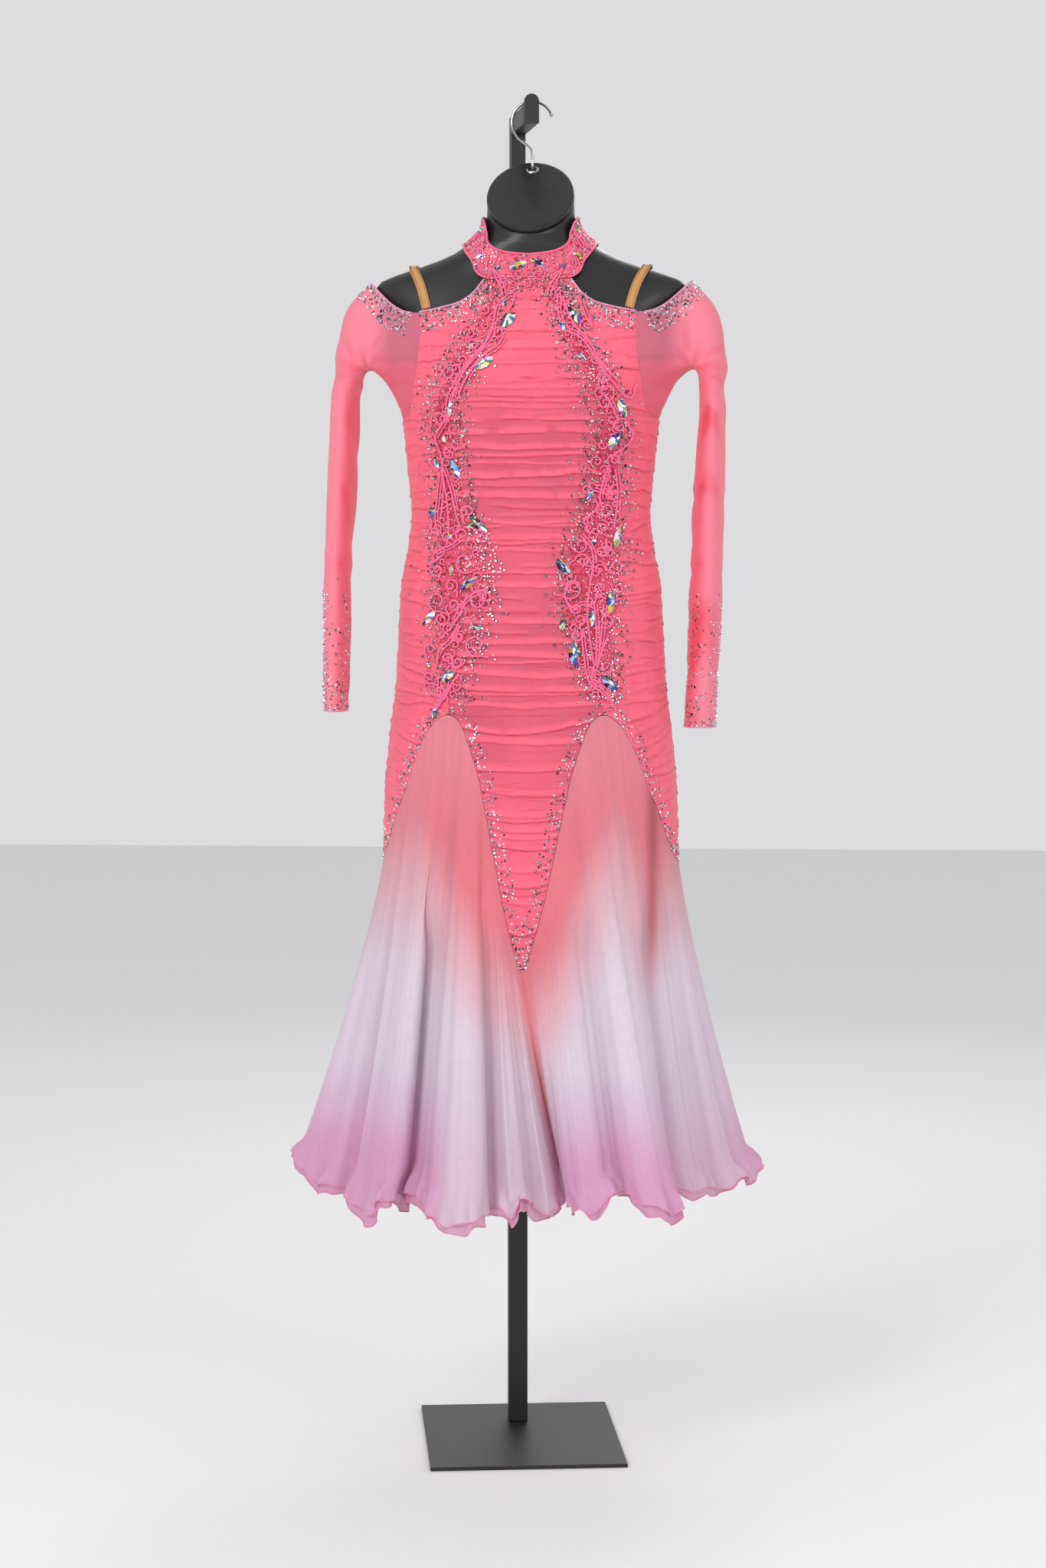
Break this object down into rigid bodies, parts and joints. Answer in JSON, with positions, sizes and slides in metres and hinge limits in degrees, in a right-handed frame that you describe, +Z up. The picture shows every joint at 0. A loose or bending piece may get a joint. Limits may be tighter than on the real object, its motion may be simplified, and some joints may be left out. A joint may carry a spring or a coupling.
{
  "type": "ballroom dance dress on a hanging dress form and stand",
  "caption": "Long-sleeved halter ballroom dress with a ruched bodice, beaded appliques and a flared ombre skirt, hanging on a limbless dress form from a telescopic stand",
  "frame": {"origin": "on the floor, in the underside of the base plate, straight below the middle of the dress", "axes": "+Z up, -Y the front of the dress, +X the dress's side that is on the right when seen from the front"},
  "size_m": [0.577, 0.4544, 1.761],
  "materials": {
    "ruched_mesh": "gathered sheer stretch mesh in coral pink",
    "sheer_mesh": "plain sheer stretch mesh in coral pink",
    "ombre_organza": "crisp sheer organza shading from coral through grey white to lilac pink",
    "under_organza": "second layer of the same organza, lilac pink",
    "beaded_applique": "hot pink cord work set with crystals and small stones",
    "nude_elastic": "tan elastic tape with a zigzag stitch",
    "zip_tape": "woven zip tape with a nylon coil",
    "zip_metal": "plated zip slider",
    "black_form": "moulded black plastic, satin",
    "chrome": "bright plated wire",
    "black_powder_coat": "black powder coat"
  },
  "bodies": {
    "stand": {"base_plate": "black_powder_coat", "post_outer": "black_powder_coat", "lock_screw": "chrome"},
    "hanging": {"post_inner": "black_powder_coat", "arm": "black_powder_coat", "arm_stop": "black_powder_coat", "torso_form": "black_form", "neck_cap": "black_form", "hook_grommet": "chrome", "form_hook": "chrome", "collar": "beaded_applique", "back_zip": "zip_tape", "zip_slider": "zip_metal", "zip_pull": "zip_metal", "front_centre": "ruched_mesh", "front_side_left": "ruched_mesh", "back_side_left": "ruched_mesh", "back_centre_left": "ruched_mesh", "sleeve_left": "sheer_mesh", "strap_left": "nude_elastic", "godet_front_left": "ombre_organza", "under_front_left": "under_organza", "applique_front_left": "beaded_applique", "godet_back_left": "ombre_organza", "under_back_left": "under_organza", "applique_back_left": "beaded_applique", "front_side_right": "ruched_mesh", "back_side_right": "ruched_mesh", "back_centre_right": "ruched_mesh", "sleeve_right": "sheer_mesh", "strap_right": "nude_elastic", "godet_front_right": "ombre_organza", "under_front_right": "under_organza", "applique_front_right": "beaded_applique", "godet_back_right": "ombre_organza", "under_back_right": "under_organza", "applique_back_right": "beaded_applique"}
  },
  "joints": [
    {"name": "height_slide", "type": "slide", "parent": "stand", "child": "hanging", "axis": [0, 0, 1], "range_m": [-0.2, 0.15]}
  ]
}
